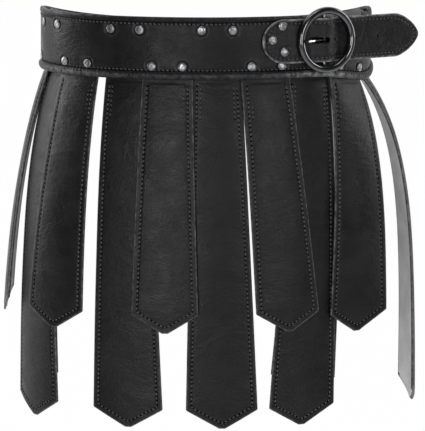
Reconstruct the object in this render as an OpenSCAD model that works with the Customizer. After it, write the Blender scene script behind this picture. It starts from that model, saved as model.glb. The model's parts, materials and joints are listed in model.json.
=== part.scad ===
// Leather armour skirt.
// A stitched waist belt carries two rows of hanging leather straps, short ones outside and
// long ones inside, each held by two rivets. A round centre bar buckle closes the belt.
// X runs to the right as the front is seen, the front faces -Y, and +Z is up.
// The origin is the centre of the waist opening at the middle of the belt's height.

/* [Waist belt] */
// Width of the belt ring, side to side, over the leather
belt_width = 326; // [290:1:380]
// Depth of the belt ring, front to back, over the leather
belt_depth = 224; // [200:1:270]
// Height of the belt
belt_height = 60; // [54:1:76]
// Thickness of the outer belt leather
belt_thick = 2.8; // [2:0.1:3.6]
// Thickness of the lining inside the belt
belt_lining_thick = 1.2; // [0.8:0.1:2]
// How much lower the belt hangs at the back
back_drop = 24; // [0:1:30]
// How much lower the belt hangs at the right front, under the end of the buckle strap
right_dip = 9; // [0:0.5:10]
// Height of the rolled hem along the belt's lower edge
lower_hem_height = 8; // [6:0.5:9]
// Height of the turned hem along the belt's upper edge
upper_hem_height = 5; // [4:0.5:6]
// How far the lower hem stands proud of the belt
lower_hem_bulge = 2.4; // [1:0.1:3]
// How far the upper hem stands proud of the belt
upper_hem_bulge = 0.6; // [0.4:0.1:0.9]

/* [Straps] */
// Width of a strap where it leaves the belt
strap_width = 50; // [44:0.5:52]
// Width that a strap gains for each millimetre down
strap_taper = 0.07; // [0.03:0.01:0.08]
// Thickness of the strap leather
strap_thick = 2.2; // [1.6:0.1:2.6]
// Thickness of the lining on the inner side of a strap
strap_lining_thick = 0.8; // [0.5:0.1:1]
// How far the strap lining stays inside the strap's outline
strap_lining_inset = 3; // [2:0.5:6]
// Drop of the short outer straps below the belt
short_drop = 243; // [200:1:270]
// Drop of the long inner straps below the belt
long_drop = 338; // [300:1:390]
// Length of the pointed end of a strap
point_length = 18; // [10:1:26]
// Width of the blunt tip of the point
tip_width = 6; // [3:0.5:10]
// How far the long straps stand out at their lower end, at the front and back
front_flare = 16; // [4:1:24]
// How far they stand out at the left side
left_flare = 36; // [20:1:44]
// How far they stand out at the right side, beside the buckle strap
right_flare = 55; // [30:1:60]
// How much further the short straps stand out
short_extra = 4; // [2:0.5:8]
// How much further still they stand out at the left side
short_left_extra = 14; // [4:1:18]
// Length over which a strap's flare dies away
flare_length = 100; // [90:5:160]
// Length over which it dies away at the right side
right_flare_length = 70; // [60:5:110]
// Where the middle front strap hangs, along the belt from its front centre
first_station = 11; // [8:0.5:14]

/* [Rivets] */
// Radius of a rivet head
rivet_head_r = 4.3; // [3:0.1:5]
// Height of a rivet head
rivet_head_height = 1.6; // [1:0.1:2.2]
// Radius of a rivet shank
rivet_shank_r = 1.5; // [1:0.1:2]
// Distance between the two rivets of a strap
rivet_spacing = 30; // [26:0.5:31]
// Distance from a rivet to the nearer edge of the belt
rivet_edge = 12.5; // [11.5:0.5:15]
// Thickness of a rivet washer
washer_thick = 0.9; // [0.6:0.1:1.4]

/* [Buckle] */
// Where the buckle's bar sits, along the belt from its front centre
buckle_station = 118; // [116:0.5:120]
// Height of the buckle's centre above the middle of the belt
buckle_rise = 6; // [4:0.5:6.5]
// Outer radius of the buckle ring
ring_outer_r = 32; // [30:0.5:34]
// Radius of the buckle ring's wire
ring_wire_r = 3.4; // [2.8:0.1:3.6]
// Radius of the centre bar
bar_r = 1.8; // [1.5:0.1:2]
// Turn of the buckle away from the belt's own direction
buckle_turn = 3; // [2:0.5:3.5]
// Radius of the prong's rod
prong_r = 1.5; // [1.2:0.1:1.7]

/* [Buckle strap] */
// Height of the strap that passes through the buckle
billet_height = 42.5; // [38:0.5:44]
// Thickness of that strap
billet_thick = 2.4; // [1.8:0.1:2.6]
// Length from its riveted end to the buckle's bar
billet_back = 64; // [62:0.5:68]
// Length from the buckle's bar to its tip
billet_reach = 109; // [90:1:120]
// Length of its rounded tip
billet_tip = 27; // [20:1:36]
// Radius of its punched holes
hole_r = 1.6; // [1.2:0.1:2]
// Distance between its punched holes
hole_spacing = 25; // [20:1:28]
// Thickness of the folded leather that holds the buckle's bar
chape_thick = 1.2; // [1:0.1:1.4]
// Length of that folded leather from the bar
chape_length = 52; // [46:1:58]

/* [Hidden] */

// Clearances
gap = 0.3;
seam_gap = 1;
lining_gap = 0.25;
bar_play = 0.2;
running_play = 0.05;

// Finish of the round shapes
round_fn = 32;
ring_steps = 84;

// The belt's plan is an ellipse, measured by its length along the front from the centre
half_w = belt_width / 2;
half_d = belt_depth / 2;
degree = PI / 180;
function ring_speed(t) = norm([half_w * cos(t), half_d * sin(t)]);
arc_table = [for (i = 0, s = 0; i <= 360; s = s + ring_speed(i + 0.5) * degree, i = i + 1) [s, i]];
circumference = arc_table[360][0];
function wrap(s) = s - circumference * floor(s / circumference);
function ring_angle(s) = lookup(wrap(s), arc_table);
function ring_normal(t) = let (v = [half_d * sin(t), -half_w * cos(t)]) v / norm(v);
function ring_radius(t) = pow(ring_speed(t), 3) / (half_w * half_d);
function ring_point(t, out) = [half_w * sin(t), -half_d * cos(t)] + out * ring_normal(t);

// The belt is level round the front, dips at the right and hangs lower towards the back
drop_soft = 0.25;
dip_from = 38;
dip_lowest = 74;
dip_to = 100;
function ease(x) = let (c = min(max(x, 0), 1)) c * c * (3 - 2 * c);
function dip_share(t) = min(ease((t - dip_from) / (dip_lowest - dip_from)),
    ease((dip_to - t) / (dip_to - dip_lowest)));
function soft(c) = (sqrt(c * c + drop_soft * drop_soft) - drop_soft)
    / (sqrt(1 + drop_soft * drop_soft) - drop_soft);
function ring_drop(t) = (cos(t) < 0 ? -back_drop * soft(-cos(t)) : 0) - right_dip * dip_share(t);

// Layers of the belt, measured outwards from the face of the outer leather
outer_row = -belt_thick - gap - strap_thick / 2;
inner_row = outer_row - strap_thick - lining_gap - strap_lining_thick - 1.5 * gap;
lining_face = inner_row - strap_thick / 2 - gap;
lining_back = lining_face - belt_lining_thick;
belt_top = belt_height / 2;
belt_bottom = -belt_height / 2;

// The straps bend on a line just under the belt
hinge_drop = 2;
hinge_z = belt_bottom - hinge_drop;
tab_end = hinge_z + strap_thick / 2 + 2 * gap;
tab_cover = 9;
lining_edge = 2;

// Stations of the straps: along the front and the back, each with small shifts, the middle
// ones at the back spread a little, and one at each side
row_count = 9;
pitch = circumference / (2 * row_count);
side_shift = 10;
back_spread = 1.05;
front_shifts = [6, -1, 7, 0, 0, 0, 0, 0];
back_shifts = [-2, 13, 0, 0, 0, 0, -2, 4];
function front_station(k) = first_station + pitch * k + front_shifts[k + 4];
function back_station(k) = circumference / 2
    - (k > -3 && k < 3 ? front_station(k) * back_spread : first_station + pitch * k)
    + back_shifts[k + 4];
stations = concat([for (k = [-4:3]) front_station(k)],
    [circumference / 4 + side_shift],
    [for (k = [3:-1:-4]) back_station(k)],
    [-circumference / 4]);
inner_index = [for (i = [0:row_count - 1]) 2 * i];
outer_index = [for (i = [0:row_count - 1]) 2 * i + 1];
seam_station = (stations[6] + stations[7]) / 2;

// Sideways lean of each strap, as a slope, in the order of the stations
leans = [0.03, -0.02, 0.018, 0, 0, 0.095, -0.05, -0.06, 0,
    0.1, 0.085, -0.095, 0, 0, -0.018, 0.03, -0.02, 0];

// Grid of a strap: columns across it and rows down its length, closer together near the belt
strap_cols = 4;
shared_rows = 6;
slope_reach = 120;
short_shoulder = short_drop - point_length;
long_shoulder = long_drop - point_length;
function leaf_rows(inner) = concat(
    [for (n = [0:shared_rows]) short_shoulder * pow(n / shared_rows, 1.5)],
    inner ? [(short_shoulder + long_shoulder) / 2, long_shoulder, long_drop] : [short_drop]);

// Both rows leave the belt at one slope, so that the short straps stay outside the long ones
function left_share(t) = sin(t) < 0 ? pow(sin(t), 2) : 0;
function right_share(t) = sin(t) > 0 ? pow(sin(t), cos(t) > 0 ? 8 : 2) : 0;
function long_flare(t) = front_flare + (left_flare - front_flare) * left_share(t)
    + (right_flare - front_flare) * right_share(t);
function first_slope(t) = long_flare(t)
    / (flare_length + (right_flare_length - flare_length) * right_share(t));
function strap_out(t, s, inner) = let (
    flare = long_flare(t) + (inner ? 0 : short_extra + short_left_extra * left_share(t)))
    s <= 0 ? 0 : flare * (1 - exp(-s * first_slope(t) / flare));

// Faces between rings of m points each, as triangles, with the other diagonal where turned says so
function ring_faces(rings, m, turned = []) = [for (i = [0:rings - 2], j = [0:m - 1])
    let (a = i * m + j, b = i * m + (j + 1) % m)
        each (turned[j] ? [[a, b, a + m], [b, b + m, a + m]] : [[a, b, b + m], [a, b + m, a + m]])];

// A closed outline carried round the belt from one station to another
module ring_sweep(outline, from, to, steps, turned = []) {
    points = [for (i = [0:steps]) let (t = ring_angle(from + (to - from) * i / steps))
        for (q = outline) concat(ring_point(t, q[0]), [q[1] + ring_drop(t)])];
    m = len(outline);
    polyhedron(points, concat(ring_faces(steps + 1, m, turned), [[for (j = [m - 1:-1:0]) j]],
        [[for (j = [0:m - 1]) steps * m + j]]), convexity = 6);
}

function box_outline(out0, out1, z0, z1) = [[out0, z0], [out1, z0], [out1, z1], [out0, z1]];

function leaf_half(s, inner) = let (
    shoulder = inner ? long_shoulder : short_shoulder,
    wide = strap_width + strap_taper * max(s, 0))
    (s <= shoulder ? wide : wide + (tip_width - wide) * (s - shoulder) / point_length) / 2;

// A strap lies on a shell that keeps the belt's plan and stands further out as it goes down.
// The shell depends on the place round the belt and on the height under it, so that straps
// side by side keep their distance where the belt slopes
function strap_point(i, u, s, out, inner) = let (
    middle = ring_angle(stations[i]),
    radius = ring_radius(middle),
    side = (leans[i] * max(s, 0) + u) * radius / (radius + strap_out(middle, s, inner)),
    t = ring_angle(stations[i] + side),
    lower = ring_drop(t) - ring_drop(middle),
    share = pow(max(0, 1 - max(s, 0) / slope_reach), 2),
    down = s + lower * (1 - share),
    plan = ring_point(t, (inner ? inner_row : outer_row) + strap_out(t, down, inner) + out))
    [plan[0], plan[1], hinge_z + ring_drop(middle) + lower * share - s];

// Facets fold outwards, so that what lies behind a strap keeps clear of it
function folds_left(i, inner) = let (r = strap_width / 2)
    strap_out(ring_angle(stations[i] - r), slope_reach, inner)
        > strap_out(ring_angle(stations[i] + r), slope_reach, inner);

// A solid between two grids of points, the outer face's and the inner face's
module leaf_solid(front, back, left) {
    m = 2 * (strap_cols + 1);
    last = (len(front) - 1) * m;
    points = [for (k = [0:len(front) - 1]) each concat(front[k],
        [for (j = [strap_cols:-1:0]) back[k][j]])];
    turned = [for (j = [0:m - 1]) (j > strap_cols) != left];
    polyhedron(points, concat(ring_faces(len(front), m, turned),
        [for (j = [0:strap_cols - 1]) each [[m - 1 - j, m - 2 - j, j + 1], [m - 1 - j, j + 1, j]]],
        [for (j = [0:strap_cols - 1]) each [[last + j, last + j + 1, last + m - 2 - j],
            [last + j, last + m - 2 - j, last + m - 1 - j]]]), convexity = 4);
}

module strap(i, inner) {
    r = strap_thick / 2;
    // rows holds [distance down, share of the thickness], with a rounded upper end
    rows = concat([[-r * 0.95, 0.3], [-r * 0.6, 0.8]], [for (s = leaf_rows(inner)) [s, 1]]);
    leaf_solid([for (q = rows) [for (j = [0:strap_cols])
            strap_point(i, leaf_half(q[0], inner) * (2 * j / strap_cols - 1), q[0], r * q[1], inner)]],
        [for (q = rows) [for (j = [0:strap_cols])
            strap_point(i, leaf_half(q[0], inner) * (2 * j / strap_cols - 1), q[0], -r * q[1], inner)]],
        folds_left(i, inner));
}

// A point over the strap's own facets, at share f of its half width
function facet_point(i, inner, f, s, out) = let (
    rows = leaf_rows(inner),
    k = max([for (n = [0:len(rows) - 2]) if (rows[n] <= s) n]),
    v = (s - rows[k]) / (rows[k + 1] - rows[k]),
    across = (f + 1) / 2 * strap_cols,
    c = min(floor(across), strap_cols - 1),
    w = across - c,
    p = [for (n = [k, k + 1], j = [c, c + 1])
        strap_point(i, leaf_half(rows[n], inner) * (2 * j / strap_cols - 1), rows[n], out, inner)])
    folds_left(i, inner)
        ? (v + w < 1 ? (1 - v - w) * p[0] + w * p[1] + v * p[2]
            : (1 - v) * p[1] + (1 - w) * p[2] + (v + w - 1) * p[3])
        : (w > v ? (1 - w) * p[0] + (w - v) * p[1] + v * p[3]
            : (1 - v) * p[0] + (v - w) * p[2] + w * p[3]);

// The lining follows the strap's own facets, so that the gap between them stays even
module strap_lining(i, inner) {
    inset = strap_lining_inset;
    rows = leaf_rows(inner);
    last = len(rows) - 1;
    downs = concat([inset], [for (n = [1:last - 2]) rows[n]],
        [rows[last - 1] - inset, rows[last] - inset]);
    back = -strap_thick / 2 - lining_gap;
    function edge_share(s) = let (half = leaf_half(s, inner))
        (s > rows[last - 1] ? max(tip_width / 2 - inset / 2, 1) : half - inset) / half;
    function across(s) = let (e = edge_share(s), m = e > 0.7 ? 0.5 : e / 2) [-e, -m, 0, m, e];
    leaf_solid([for (s = downs) [for (f = across(s)) facet_point(i, inner, f, s, back)]],
        [for (s = downs) [for (f = across(s))
            facet_point(i, inner, f, s, back - strap_lining_thick)]],
        folds_left(i, inner));
}

// Places its children on the belt with their own +Z pointing outwards
module on_belt(station, z, out) {
    t = ring_angle(station);
    n = ring_normal(t);
    p = ring_point(t, out);
    translate([p[0], p[1], z + ring_drop(t)])
        rotate([0, 90, atan2(n[1], n[0])])
            children();
}

module rivet_head() {
    rim = rivet_head_height * 0.35;
    rotate_extrude($fn = round_fn)
        polygon(concat([[0, 0], [rivet_head_r, 0], [rivet_head_r, rim]],
            [for (d = [15:15:90]) [rivet_head_r * cos(d), rim + (rivet_head_height - rim) * sin(d)]]));
}

module rivet(length) {
    union() {
        rivet_head();
        translate([0, 0, -length])
            cylinder(r = rivet_shank_r, h = length, $fn = round_fn);
    }
}

module rivet_pairs(indexes, z, out) {
    for (i = indexes)
        for (side = [-1, 1])
            on_belt(stations[i] + side * rivet_spacing / 2, z, out)
                children();
}

module belt_band() {
    color("#1b1b1c")
        ring_sweep(box_outline(-belt_thick, 0, belt_bottom + lower_hem_height,
                belt_top - upper_hem_height),
            seam_station + seam_gap / 2, seam_station + circumference - seam_gap / 2, ring_steps);
}

// Each hem meets the band on facets with the band's own diagonals
module upper_hem() {
    color("#141415")
        ring_sweep([[-belt_thick, belt_top - upper_hem_height], [0, belt_top - upper_hem_height],
                [upper_hem_bulge, belt_top - upper_hem_height * 0.75],
                [upper_hem_bulge, belt_top - upper_hem_height * 0.25],
                [0, belt_top], [-belt_thick, belt_top]],
            seam_station + seam_gap / 2, seam_station + circumference - seam_gap / 2, ring_steps,
            [true]);
}

module lower_hem() {
    color("#141415")
        ring_sweep([[-belt_thick, belt_bottom], [lower_hem_bulge * 0.4, belt_bottom],
                [lower_hem_bulge, belt_bottom + lower_hem_height * 0.3],
                [lower_hem_bulge, belt_bottom + lower_hem_height * 0.7],
                [0, belt_bottom + lower_hem_height], [-belt_thick, belt_bottom + lower_hem_height]],
            seam_station + seam_gap / 2, seam_station + circumference - seam_gap / 2, ring_steps,
            [false, false, false, false, true]);
}

module belt_lining() {
    color("#3a3938")
        ring_sweep(box_outline(lining_back, lining_face, belt_bottom + lining_edge,
                belt_top - lining_edge),
            seam_station + seam_gap / 2, seam_station + circumference - seam_gap / 2, ring_steps);
}

// The flap that lies behind the seam where the two ends of the belt meet
module under_lap() {
    lap_short = 26;
    lap_long = 44;
    back = lining_back - washer_thick - gap;
    color("#222223")
        ring_sweep(box_outline(back - strap_thick, back, belt_bottom + lining_edge,
                belt_top - lining_edge),
            seam_station - lap_short, seam_station + lap_long, 8);
}

module tabs(indexes, row, top) {
    for (i = indexes)
        ring_sweep(box_outline(row - strap_thick / 2, row + strap_thick / 2, tab_end, top),
            stations[i] - strap_width / 2, stations[i] + strap_width / 2, 4);
}

module outer_row_tabs() {
    color("#1e1e1f")
        tabs(outer_index, outer_row, belt_bottom + rivet_edge + tab_cover);
}

module inner_row_tabs() {
    color("#1e1e1f")
        tabs(inner_index, inner_row, belt_top - rivet_edge + tab_cover);
}

module lower_rivets() {
    color("#8d8f92")
        rivet_pairs(outer_index, belt_bottom + rivet_edge, 0)
            rivet(-lining_back);
}

module upper_rivets() {
    color("#8d8f92")
        rivet_pairs(inner_index, belt_top - rivet_edge, 0)
            rivet(-lining_back);
}

module rivet_washer() {
    washer_r = 3.4;
    translate([0, 0, -washer_thick])
        difference() {
            cylinder(r = washer_r, h = washer_thick, $fn = round_fn);
            translate([0, 0, -1])
                cylinder(r = rivet_shank_r, h = washer_thick + 2, $fn = round_fn);
        }
}

module rivet_washers() {
    color("#77797c") {
        rivet_pairs(outer_index, belt_bottom + rivet_edge, lining_back) rivet_washer();
        rivet_pairs(inner_index, belt_top - rivet_edge, lining_back) rivet_washer();
    }
}

// The buckle's own frame: x along the belt, -y outwards, its origin on the face of the belt
buckle_angle = ring_angle(buckle_station);
buckle_origin = ring_point(buckle_angle, 0);
buckle_heading = atan2(half_d * sin(buckle_angle), half_w * cos(buckle_angle)) - buckle_turn;
buckle_along = [cos(buckle_heading), sin(buckle_heading)];
buckle_out = [sin(buckle_heading), -cos(buckle_heading)];
bar_out = gap + chape_thick + bar_play + bar_r;
loop_r = bar_r + bar_play + chape_thick;
billet_over = bar_out + loop_r + gap + billet_thick / 2;
ring_r = ring_outer_r - ring_wire_r;
billet_under = 2.8;
billet_back_out = rivet_head_height + gap;
ring_out = billet_under + billet_thick / 2 + 2 * gap + ring_wire_r;
function to_buckle(p) = let (d = p - buckle_origin) [d * buckle_along, d * buckle_out];
function belt_in_buckle(s, out) = to_buckle(ring_point(ring_angle(s), out));

module at_buckle() {
    translate([buckle_origin[0], buckle_origin[1], buckle_rise])
        rotate([0, 0, buckle_heading])
            children();
}

// Path of the buckle strap: along the belt, under the ring, over the bar, under the ring, out
rise_reach = 19;
joins_at = -38;
function billet_bump(x) = abs(x) < rise_reach
    ? (billet_over - billet_under) * pow(cos(90 * x / rise_reach), 2) : 0;
billet_line = concat(
    [for (s = [-billet_back:5:joins_at]) belt_in_buckle(buckle_station + s,
        billet_back_out + billet_thick / 2)],
    [for (x = [-30:3:30]) [x, billet_under + billet_bump(x)]],
    [for (x = [42, 62, 84, billet_reach]) [x, billet_under]]);
function line_normal(line, i) = let (
    v = line[min(i + 1, len(line) - 1)] - line[max(i - 1, 0)])
    [-v[1], v[0]] / norm(v);
function thick_line(line, half) = concat(
    [for (i = [0:len(line) - 1]) line[i] + half * line_normal(line, i)],
    [for (i = [len(line) - 1:-1:0]) line[i] - half * line_normal(line, i)]);

// Side view of the buckle strap: a round riveted end and a tip that narrows to a soft point
module billet_side() {
    half = billet_height / 2;
    start = billet_line[0][0];
    tip_steps = 10;
    tip_power = 1.3;
    polygon(concat(
        [for (d = [90:10:270]) [start + half + half * cos(d), half * sin(d)]],
        [for (k = [0:2 * tip_steps]) let (d = -90 + 90 * k / tip_steps)
            [billet_reach - billet_tip + billet_tip * pow(cos(d), tip_power),
                half * sign(d) * pow(abs(sin(d)), tip_power)]]));
}

module billet_strap() {
    slot_from = -17;
    slot_to = 3.5;
    slot_half = prong_r + 1.2;
    color("#1a1a1b")
        at_buckle()
            difference() {
                intersection() {
                    translate([0, 0, -billet_height])
                        linear_extrude(2 * billet_height)
                            polygon([for (p = thick_line(billet_line, billet_thick / 2))
                                [p[0], -p[1]]]);
                    rotate([90, 0, 0])
                        linear_extrude(2 * billet_reach, center = true)
                            billet_side();
                }
                rotate([90, 0, 0]) {
                    for (x = [slot_from + slot_half, slot_to - slot_half])
                        translate([x, 0, -40])
                            cylinder(r = slot_half, h = 80, $fn = round_fn);
                    translate([slot_from + slot_half, -slot_half, -40])
                        cube([slot_to - slot_from - 2 * slot_half, 2 * slot_half, 80]);
                    for (k = [1:3])
                        translate([k * hole_spacing - 14, 0, -40])
                            cylinder(r = hole_r, h = 80, $fn = round_fn);
                }
            }
}

module billet_rivets() {
    billet_rivet_back = [[44.5, 15], [54.5, 2], [42.5, -10]];
    color("#8d8f92")
        for (p = billet_rivet_back)
            on_belt(buckle_station - p[0], buckle_rise + p[1], billet_back_out + billet_thick)
                rivet(billet_back_out + billet_thick + belt_thick);
}

// Folded leather that holds the bar, open for the prong, between the two rows of rivets
chape_height = min(30, belt_height - 2 * (rivet_edge + rivet_head_r + 2 * gap));
chape_z = ring_drop(ring_angle(buckle_station + strap_width / 10));
module chape() {
    chape_slot = prong_r + 0.75;
    strip_steps = 10;
    color("#1c1c1d")
        at_buckle()
            difference() {
                translate([0, 0, chape_z - buckle_rise - chape_height / 2])
                    linear_extrude(chape_height)
                        difference() {
                            union() {
                                translate([0, -bar_out])
                                    circle(r = loop_r, $fn = round_fn);
                                polygon([for (p = concat(
                                        [for (k = [0:strip_steps]) belt_in_buckle(buckle_station
                                            + chape_length * k / strip_steps, gap)],
                                        [for (k = [strip_steps:-1:0]) belt_in_buckle(buckle_station
                                            + chape_length * k / strip_steps,
                                            gap + 2 * chape_thick)])) [p[0], -p[1]]]);
                            }
                            translate([0, -bar_out])
                                circle(r = bar_r + bar_play, $fn = round_fn);
                        }
                translate([-2 * loop_r, -bar_out - 2 * loop_r, -chape_slot])
                    cube([2 * loop_r + loop_r + 1, 4 * loop_r, 2 * chape_slot]);
            }
}

module chape_rivets() {
    chape_rivet_at = 40;
    z = chape_z - ring_drop(ring_angle(buckle_station + chape_rivet_at));
    color("#77797c")
        for (side = [-1, 1])
            on_belt(buckle_station + chape_rivet_at, z + side * chape_height / 4,
                    gap + 2 * chape_thick)
                rivet(gap + 2 * chape_thick + belt_thick);
}

module buckle_ring() {
    color("#2b2c2f")
        at_buckle()
            union() {
                translate([0, -ring_out, 0])
                    rotate([90, 0, 0])
                        rotate_extrude($fn = 96)
                            translate([ring_r, 0])
                                circle(r = ring_wire_r, $fn = 24);
                translate([0, -bar_out, -ring_r])
                    cylinder(r = bar_r, h = 2 * ring_r, $fn = round_fn);
            }
}

// The prong turns on the bar, comes out through the strap and rests on the ring
module buckle_prong() {
    prong_tip = 2;
    tip_x = ring_r - prong_tip;
    tip_out = ring_out + ring_wire_r + gap + prong_r;
    rise = tip_out - bar_out;
    lift = atan2(rise, tip_x);
    eye_half = prong_r + 0.4;
    color("#c9cacc")
        at_buckle()
            translate([0, -bar_out, 0])
                difference() {
                    union() {
                        translate([0, 0, -eye_half])
                            cylinder(r = loop_r, h = 2 * eye_half, $fn = round_fn);
                        rotate([0, 0, lift])
                            rotate([0, -90, 0]) {
                                cylinder(r = prong_r, h = tip_x, $fn = round_fn);
                                translate([0, 0, tip_x])
                                    cylinder(r1 = prong_r, r2 = prong_r / 2, h = prong_tip,
                                        $fn = round_fn);
                            }
                    }
                    translate([0, 0, -5])
                        cylinder(r = bar_r + running_play, h = 10, $fn = round_fn);
                }
}

module outer_strap(n) { color("#1d1d1e") strap(outer_index[n - 1], false); }
module inner_strap(n) { color("#19191a") strap(inner_index[n - 1], true); }
module outer_lining(n) { color("#9a9a9c") strap_lining(outer_index[n - 1], false); }
module inner_lining(n) { color("#9a9a9c") strap_lining(inner_index[n - 1], true); }

belt_band();
upper_hem();
lower_hem();
belt_lining();
under_lap();
outer_row_tabs();
inner_row_tabs();
lower_rivets();
upper_rivets();
rivet_washers();
billet_strap();
billet_rivets();
chape();
chape_rivets();
buckle_ring();
buckle_prong();
for (n = [1:row_count]) {
    outer_strap(n);
    inner_strap(n);
    outer_lining(n);
    inner_lining(n);
}
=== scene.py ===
import math
import bpy
import numpy as np
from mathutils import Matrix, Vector
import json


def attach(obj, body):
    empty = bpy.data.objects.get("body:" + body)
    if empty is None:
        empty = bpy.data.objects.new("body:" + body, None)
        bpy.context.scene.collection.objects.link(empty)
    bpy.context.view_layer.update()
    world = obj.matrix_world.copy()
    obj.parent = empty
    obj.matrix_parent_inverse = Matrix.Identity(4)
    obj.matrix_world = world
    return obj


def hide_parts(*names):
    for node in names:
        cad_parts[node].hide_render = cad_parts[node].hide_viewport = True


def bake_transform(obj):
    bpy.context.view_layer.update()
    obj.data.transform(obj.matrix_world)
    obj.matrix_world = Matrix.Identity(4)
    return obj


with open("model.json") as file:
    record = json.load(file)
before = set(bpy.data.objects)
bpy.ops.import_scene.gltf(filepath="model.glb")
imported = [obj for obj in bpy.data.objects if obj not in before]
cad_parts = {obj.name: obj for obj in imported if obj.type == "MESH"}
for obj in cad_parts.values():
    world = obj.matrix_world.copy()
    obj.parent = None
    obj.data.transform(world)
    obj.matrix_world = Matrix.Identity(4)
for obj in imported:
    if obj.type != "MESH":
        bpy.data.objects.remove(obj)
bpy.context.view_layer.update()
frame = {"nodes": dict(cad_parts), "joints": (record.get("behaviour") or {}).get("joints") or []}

# Lengths are in millimetres up to the moment a mesh is made, angles in degrees from the belt's front.
metre = 0.001
degree = math.pi / 180

belt = dict(
    halfWidth=163.0, halfDepth=112.0,  # plan of the belt's outer face, an ellipse
    top=30.0, bottom=-30.0, thick=2.8, upperHem=5.0, lowerHem=8.0, seamGap=1.0,
    backDrop=24.0, backEase=0.25,  # lower at the back, and how softly that begins
    rightDip=9.0, dipSpan=(38, 74, 100),  # lower at the right front, between the first and last angle
)
straps = dict(
    width=50.0, taper=0.07, tip=6.0, point=18.0, thick=2.2,
    shortDrop=243.0, longDrop=338.0, hingeZ=-32.0,
    shortRow=-4.2, longRow=-7.9, shortTab=-8.5, longTab=26.5,
    frontFlare=16.0, leftFlare=36.0, rightFlare=55.0, shortExtra=4.0, shortLeftExtra=14.0,
    flareLength=100.0, rightFlareLength=70.0, slopeReach=120.0,
)


# Belt plan: a point of the ellipse, moved out along its normal, found by its length along the front

def ringSpeed(t):
    # length of ellipse per radian, the root of (W cos t) squared plus (D sin t) squared
    return np.hypot(belt["halfWidth"] * np.cos(t * degree), belt["halfDepth"] * np.sin(t * degree))


arcLengths = np.concatenate([[0.0], np.cumsum(ringSpeed(np.arange(360) + 0.5) * degree)])
circumference = arcLengths[-1]


def ringAngle(station):
    # inverse of the arc length, read from the table
    return np.interp(np.mod(station, circumference), arcLengths, np.arange(361))


def shortWay(along):
    # the same length round the belt, between minus half and half of the circumference
    return np.mod(along + circumference / 2, circumference) - circumference / 2


def ringNormal(t):
    # (D sin t, -W cos t) over its length
    nx, ny = belt["halfDepth"] * np.sin(t * degree), -belt["halfWidth"] * np.cos(t * degree)
    size = np.hypot(nx, ny)
    return nx / size, ny / size


def ringPoint(t, out):
    # (W sin t, -D cos t) plus out times the unit normal
    nx, ny = ringNormal(t)
    return (belt["halfWidth"] * np.sin(t * degree) + out * nx,
            -belt["halfDepth"] * np.cos(t * degree) + out * ny)


def ringDrop(t):
    # level round the front, a dip eased by 3 k k - 2 k k k, and a softened cosine down to the back
    c, ease = -np.cos(t * degree), belt["backEase"]
    soft = (np.sqrt(c * c + ease * ease) - ease) / (math.sqrt(1 + ease * ease) - ease)
    start, lowest, end = belt["dipSpan"]
    share = np.minimum(np.clip((t - start) / (lowest - start), 0, 1),
                       np.clip((end - t) / (end - lowest), 0, 1))
    return np.where(c > 0, -belt["backDrop"] * soft, 0.0) - belt["rightDip"] * share ** 2 * (3 - 2 * share)


def beltPoint(station, z, out):
    # the ring's point at that station, at a height above the belt's middle line
    t = ringAngle(station)
    x, y = ringPoint(t, out)
    return np.stack(np.broadcast_arrays(x, y, z + ringDrop(t)), axis=-1)


# Stations of the eighteen straps: eight at the front, one at the right, eight at the back, one at the left

pitch = circumference / 18
evenStations = [11.0 + pitch * k for k in range(-4, 4)]
frontStations = [s + shift for s, shift in zip(evenStations, (6, -1, 7, 0, 0, 0, 0, 0))]
backStations = [circumference / 2 - (frontStations[k] * 1.05 if 1 < k < 7 else evenStations[k]) + shift
                for k, shift in zip(range(7, -1, -1), (4, -2, 0, 0, 0, 0, 13, -2))]
stations = frontStations + [circumference / 4 + 10.0] + backStations + [-circumference / 4]
seamStation = (stations[6] + stations[7]) / 2

# How far each strap hangs to one side, per length
leans = [0.03, -0.02, 0.018, 0, 0.014, 0.084, -0.05, -0.06, 0,
         0.1, 0.078, -0.095, -0.008, 0, -0.012, 0.03, -0.012, 0]


def strapOut(t, s, isLong):
    # flare times (1 - exp(-s k)); both rows leave the belt at one slope
    sine, cosine = np.sin(t * degree), np.cos(t * degree)
    left = np.where(sine < 0, sine ** 2, 0.0)
    right = np.where(sine > 0, np.abs(sine) ** np.where(cosine > 0, 8, 2), 0.0)
    c = straps
    longFlare = (c["frontFlare"] + (c["leftFlare"] - c["frontFlare"]) * left
                 + (c["rightFlare"] - c["frontFlare"]) * right)
    slope = longFlare / (c["flareLength"] + (c["rightFlareLength"] - c["flareLength"]) * right)
    flare = longFlare + (0 if isLong else c["shortExtra"] + c["shortLeftExtra"] * left)
    return np.where(s <= 0, 0.0, flare * (1 - np.exp(-np.maximum(s, 0) * slope / flare)))


def shellPoint(i, isLong, u, s, out):
    # a strap lies on a shell with the belt's plan that stands further out with the depth under the belt
    middle = ringAngle(stations[i])
    radius = ringSpeed(middle) ** 3 / (belt["halfWidth"] * belt["halfDepth"])
    down = np.maximum(s, 0.0)
    side = (leans[i] * down + u) * radius / (radius + strapOut(middle, s, isLong))
    t = ringAngle(stations[i] + side)
    lower = ringDrop(t) - ringDrop(middle)
    share = np.maximum(0, 1 - down / straps["slopeReach"]) ** 2
    depth = s + lower * (1 - share)
    x, y = ringPoint(t, straps["longRow" if isLong else "shortRow"] + strapOut(t, depth, isLong) + out)
    z = straps["hingeZ"] + ringDrop(middle) + lower * share - s
    return np.stack(np.broadcast_arrays(x, y, z), axis=-1)


def halfWidth(s, drop):
    # slow taper, then straight to the blunt tip
    shoulder = drop - straps["point"]
    wide = straps["width"] + straps["taper"] * np.maximum(s, 0)
    wideShoulder = straps["width"] + straps["taper"] * shoulder
    pointed = wideShoulder + (straps["tip"] - wideShoulder) * (s - shoulder) / straps["point"]
    return np.where(s <= shoulder, wide, pointed) / 2


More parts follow.
